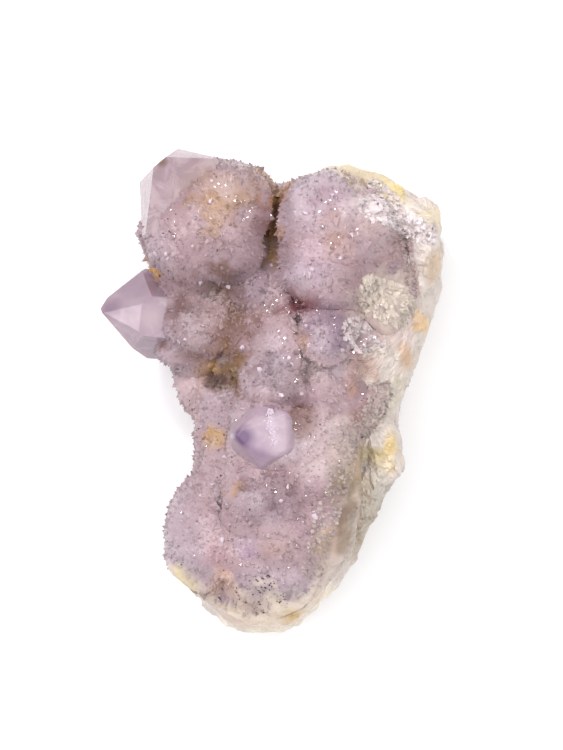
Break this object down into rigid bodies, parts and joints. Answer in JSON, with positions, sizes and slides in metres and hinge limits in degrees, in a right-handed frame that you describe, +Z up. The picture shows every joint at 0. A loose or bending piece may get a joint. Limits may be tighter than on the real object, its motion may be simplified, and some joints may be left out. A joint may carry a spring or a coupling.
{
  "type": "spirit quartz cluster",
  "caption": "Natural quartz cluster: stout crystals coated in fine drusy points, some with bare lilac tips, on broken milky vein quartz that rests on a flat cut underside.",
  "frame": {"origin": "on the flat cut underside, below the middle of the cluster's bounding box", "axes": "+Z up from the underside, +Y along the cluster's length towards the largest crystal, -X the side to which the bare tips lean"},
  "size_m": [0.0708, 0.0992, 0.0442],
  "materials": {
    "drusy_quartz": "sparkling coat of tiny glassy lilac-pink points, milky beneath, ochre in the crevices",
    "clear_quartz": "smooth, see-through crystal faces, faintly lilac, cloudy inside",
    "vein_quartz": "rough broken milky quartz, white to cream with yellow and grey-olive stains"
  },
  "bodies": {
    "root": {"quartz_cluster": "drusy_quartz"}
  },
  "joints": []
}
